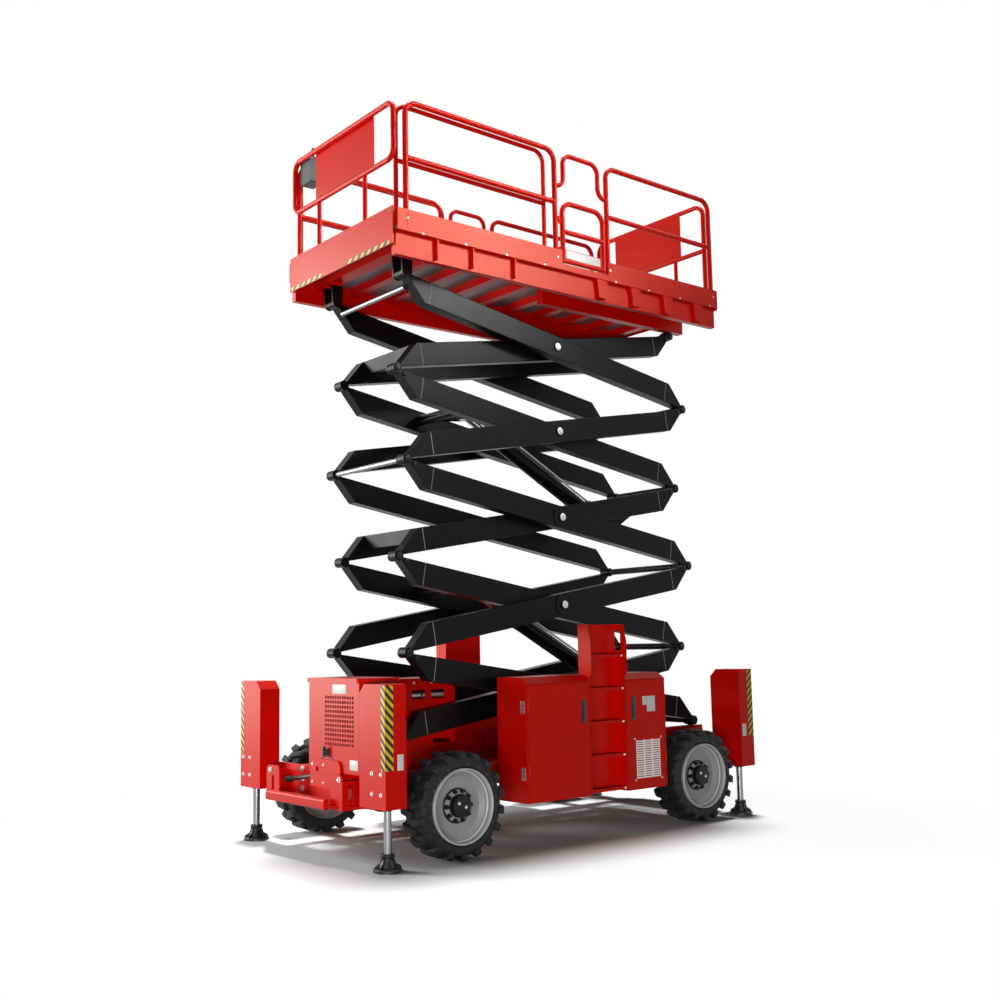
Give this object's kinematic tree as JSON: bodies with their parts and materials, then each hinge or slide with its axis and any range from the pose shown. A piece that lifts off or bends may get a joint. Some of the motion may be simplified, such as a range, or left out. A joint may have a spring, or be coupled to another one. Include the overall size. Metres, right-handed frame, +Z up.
{
  "type": "rough-terrain scissor lift",
  "caption": "Self-propelled scissor lift: steered four-wheel chassis with levelling jacks, a stack of crossed arms raised by cylinders, and a railed platform with a roll-out deck.",
  "frame": {"origin": "on the floor under the middle of the machine, between the axles", "axes": "+X to the front, +Y to the machine's left, +Z up"},
  "size_m": [4.5, 2.32, 6.216],
  "materials": {
    "red_paint": "gloss",
    "black_paint": "satin",
    "grey_paint": "satin",
    "tyre_rubber": "matte",
    "bright_steel": "satin",
    "hard_chrome": "polished",
    "deck_plate": "satin",
    "cast_iron": "rough",
    "control_plastic": "matte"
  },
  "bodies": {
    "chassis": {"chassis_frame": "red_paint", "front_axle": "cast_iron", "rear_axle": "cast_iron", "jack_housings": "red_paint", "tow_trays": "red_paint", "ladders": "red_paint", "nose_cabinet": "red_paint", "nose_lid": "red_paint", "nose_grille": "red_paint", "hydraulic_tank": "red_paint", "cabinet_left": "red_paint", "cabinet_right": "red_paint", "engine_block": "cast_iron"},
    "platform": {"platform_frame": "red_paint", "platform_floor": "deck_plate", "side_rail_left": "red_paint", "side_rail_right": "red_paint", "rear_rail": "red_paint", "rear_panel": "red_paint"},
    "extension": {"extension_floor": "deck_plate", "extension_plate": "red_paint", "extension_rails": "red_paint", "extension_panel": "red_paint", "control_box": "control_plastic"},
    "knuckle_left": {"knuckle_left": "cast_iron"},
    "knuckle_right": {"knuckle_right": "cast_iron"},
    "gate_left": {"gate_left": "red_paint"},
    "gate_right": {"gate_right": "red_paint"},
    "wheel_front_left": {"tyre_front_left": "tyre_rubber", "rim_front_left": "grey_paint"},
    "jack_front_left": {"jack_leg_front_left": "hard_chrome"},
    "wheel_front_right": {"tyre_front_right": "tyre_rubber", "rim_front_right": "grey_paint"},
    "jack_front_right": {"jack_leg_front_right": "hard_chrome"},
    "wheel_rear_left": {"tyre_rear_left": "tyre_rubber", "rim_rear_left": "grey_paint"},
    "jack_rear_left": {"jack_leg_rear_left": "hard_chrome"},
    "wheel_rear_right": {"tyre_rear_right": "tyre_rubber", "rim_rear_right": "grey_paint"},
    "jack_rear_right": {"jack_leg_rear_right": "hard_chrome"},
    "door_front_left": {"door_front_left": "red_paint"},
    "door_front_right": {"door_front_right": "red_paint"},
    "door_rear_left": {"door_rear_left": "red_paint"},
    "door_rear_right": {"door_rear_right": "red_paint"},
    "inner_1": {"inner_arms_1": "black_paint"},
    "outer_1": {"outer_arms_1": "black_paint"},
    "inner_2": {"inner_arms_2": "black_paint"},
    "outer_2": {"outer_arms_2": "black_paint"},
    "inner_3": {"inner_arms_3": "black_paint"},
    "outer_3": {"outer_arms_3": "black_paint", "tie_bar_3": "bright_steel"},
    "inner_4": {"inner_arms_4": "black_paint"},
    "outer_4": {"outer_arms_4": "black_paint"},
    "inner_5": {"inner_arms_5": "black_paint"},
    "outer_5": {"outer_arms_5": "black_paint", "tie_bar_5": "bright_steel"},
    "barrel_lower": {"cylinder_barrel_lower": "black_paint"},
    "rod_lower": {"cylinder_rod_lower": "hard_chrome"},
    "barrel_upper": {"cylinder_barrel_upper": "black_paint"},
    "rod_upper": {"cylinder_rod_upper": "hard_chrome"}
  },
  "joints": [
    {"name": "lift", "type": "hinge", "parent": "chassis", "child": "inner_1", "pos_m": [1.53, 0, 0.88], "axis": [0, 1, 0], "range_deg": [-8.5, 44.3]},
    {"name": "fold_1", "type": "hinge", "parent": "inner_1", "child": "outer_1", "pos_m": [-0.18201, 0, 1.2088], "axis": [0, 1, 0], "range_deg": [-88.61, 17.01]},
    {"name": "fold_2", "type": "hinge", "parent": "outer_1", "child": "outer_2", "pos_m": [1.53, 0, 1.6096], "axis": [0, 1, 0], "range_deg": [-17.01, 88.61]},
    {"name": "fold_3", "type": "hinge", "parent": "outer_2", "child": "inner_2", "pos_m": [-0.18201, 0, 2.0104], "axis": [0, 1, 0], "range_deg": [-88.61, 17.01]},
    {"name": "fold_4", "type": "hinge", "parent": "inner_2", "child": "inner_3", "pos_m": [1.53, 0, 2.4112], "axis": [0, 1, 0], "range_deg": [-17.01, 88.61]},
    {"name": "fold_5", "type": "hinge", "parent": "inner_3", "child": "outer_3", "pos_m": [-0.18201, 0, 2.812], "axis": [0, 1, 0], "range_deg": [-88.61, 17.01]},
    {"name": "fold_6", "type": "hinge", "parent": "outer_3", "child": "outer_4", "pos_m": [1.53, 0, 3.2128], "axis": [0, 1, 0], "range_deg": [-17.01, 88.61]},
    {"name": "fold_7", "type": "hinge", "parent": "outer_4", "child": "inner_4", "pos_m": [-0.18201, 0, 3.6136], "axis": [0, 1, 0], "range_deg": [-88.61, 17.01]},
    {"name": "fold_8", "type": "hinge", "parent": "inner_4", "child": "inner_5", "pos_m": [1.53, 0, 4.0144], "axis": [0, 1, 0], "range_deg": [-17.01, 88.61]},
    {"name": "fold_9", "type": "hinge", "parent": "inner_5", "child": "outer_5", "pos_m": [-0.18201, 0, 4.4152], "axis": [0, 1, 0], "range_deg": [-88.61, 17.01]},
    {"name": "platform_level", "type": "hinge", "parent": "outer_5", "child": "platform", "pos_m": [1.53, 0, 4.816], "axis": [0, 1, 0], "range_deg": [-8.51, 44.31]},
    {"name": "cylinder_swing_lower", "type": "hinge", "parent": "inner_1", "child": "barrel_lower", "pos_m": [-1.35002, 0, 1.2206], "axis": [0, 1, 0], "range_deg": [-84.18, 16.16]},
    {"name": "cylinder_stroke_lower", "type": "slide", "parent": "barrel_lower", "child": "rod_lower", "axis": [0.8791, 0, 0.4767], "range_m": [-0.173, 0.901]},
    {"name": "cylinder_swing_upper", "type": "hinge", "parent": "inner_3", "child": "barrel_upper", "pos_m": [-1.35002, 0, 2.8238], "axis": [0, 1, 0], "range_deg": [-84.18, 16.16]},
    {"name": "cylinder_stroke_upper", "type": "slide", "parent": "barrel_upper", "child": "rod_upper", "axis": [0.8791, 0, 0.4767], "range_m": [-0.173, 0.901]},
    {"name": "steer_left", "type": "hinge", "parent": "chassis", "child": "knuckle_left", "pos_m": [1.4, 0.86, 0.42], "axis": [0, 0, 1], "range_deg": [-30, 30]},
    {"name": "steer_right", "type": "hinge", "parent": "chassis", "child": "knuckle_right", "pos_m": [1.4, -0.86, 0.42], "axis": [0, 0, 1], "range_deg": [-30.01, 30.01]},
    {"name": "spin_front_left", "type": "hinge", "parent": "knuckle_left", "child": "wheel_front_left", "pos_m": [1.4, 1.01, 0.42], "axis": [0, 1, 0], "continuous": true},
    {"name": "spin_front_right", "type": "hinge", "parent": "knuckle_right", "child": "wheel_front_right", "pos_m": [1.4, -1.01, 0.42], "axis": [0, 1, 0], "continuous": true},
    {"name": "spin_rear_left", "type": "hinge", "parent": "chassis", "child": "wheel_rear_left", "pos_m": [-1.4, 1.01, 0.42], "axis": [0, 1, 0], "continuous": true},
    {"name": "spin_rear_right", "type": "hinge", "parent": "chassis", "child": "wheel_rear_right", "pos_m": [-1.4, -1.01, 0.42], "axis": [0, 1, 0], "continuous": true},
    {"name": "jack_front_left", "type": "slide", "parent": "chassis", "child": "jack_front_left", "axis": [0, 0, 1], "range_m": [0, 0.3]},
    {"name": "jack_front_right", "type": "slide", "parent": "chassis", "child": "jack_front_right", "axis": [0, 0, 1], "range_m": [0, 0.3]},
    {"name": "jack_rear_left", "type": "slide", "parent": "chassis", "child": "jack_rear_left", "axis": [0, 0, 1], "range_m": [0, 0.3]},
    {"name": "jack_rear_right", "type": "slide", "parent": "chassis", "child": "jack_rear_right", "axis": [0, 0, 1], "range_m": [0, 0.3]},
    {"name": "extend_deck", "type": "slide", "parent": "platform", "child": "extension", "axis": [1, 0, 0], "range_m": [0, 1.45]},
    {"name": "gate_left", "type": "hinge", "parent": "platform", "child": "gate_left", "pos_m": [-0.009, 0.87, 5.3], "axis": [0, 0, 1], "range_deg": [0, 95]},
    {"name": "gate_right", "type": "hinge", "parent": "platform", "child": "gate_right", "pos_m": [-0.009, -0.87, 5.3], "axis": [0, 0, -1], "range_deg": [0, 95]},
    {"name": "door_front_left", "type": "hinge", "parent": "chassis", "child": "door_front_left", "pos_m": [0.6925, 1.1105, 0.8], "axis": [0, 0, -1], "range_deg": [0, 110]},
    {"name": "door_rear_left", "type": "hinge", "parent": "chassis", "child": "door_rear_left", "pos_m": [-0.9325, 1.1105, 0.8], "axis": [0, 0, 1], "range_deg": [0, 95]},
    {"name": "door_front_right", "type": "hinge", "parent": "chassis", "child": "door_front_right", "pos_m": [0.6925, -1.1105, 0.8], "axis": [0, 0, 1], "range_deg": [0, 110]},
    {"name": "door_rear_right", "type": "hinge", "parent": "chassis", "child": "door_rear_right", "pos_m": [-0.9325, -1.1105, 0.8], "axis": [0, 0, -1], "range_deg": [0, 95]}
  ],
  "couplings": [
    {"joint": "fold_1", "follows": "lift", "ratio": -2},
    {"joint": "fold_2", "follows": "lift", "ratio": 2},
    {"joint": "fold_3", "follows": "lift", "ratio": -2},
    {"joint": "fold_4", "follows": "lift", "ratio": 2},
    {"joint": "fold_5", "follows": "lift", "ratio": -2},
    {"joint": "fold_6", "follows": "lift", "ratio": 2},
    {"joint": "fold_7", "follows": "lift", "ratio": -2},
    {"joint": "fold_8", "follows": "lift", "ratio": 2},
    {"joint": "fold_9", "follows": "lift", "ratio": -2},
    {"joint": "platform_level", "follows": "lift", "ratio": 1},
    {"joint": "cylinder_swing_lower", "follows": "lift", "ratio": -1.9},
    {"joint": "cylinder_stroke_lower", "follows": "lift", "m_per_rad": 1.165},
    {"joint": "cylinder_swing_upper", "follows": "lift", "ratio": -1.9},
    {"joint": "cylinder_stroke_upper", "follows": "lift", "m_per_rad": 1.165},
    {"joint": "steer_right", "follows": "steer_left", "ratio": 1}
  ]
}
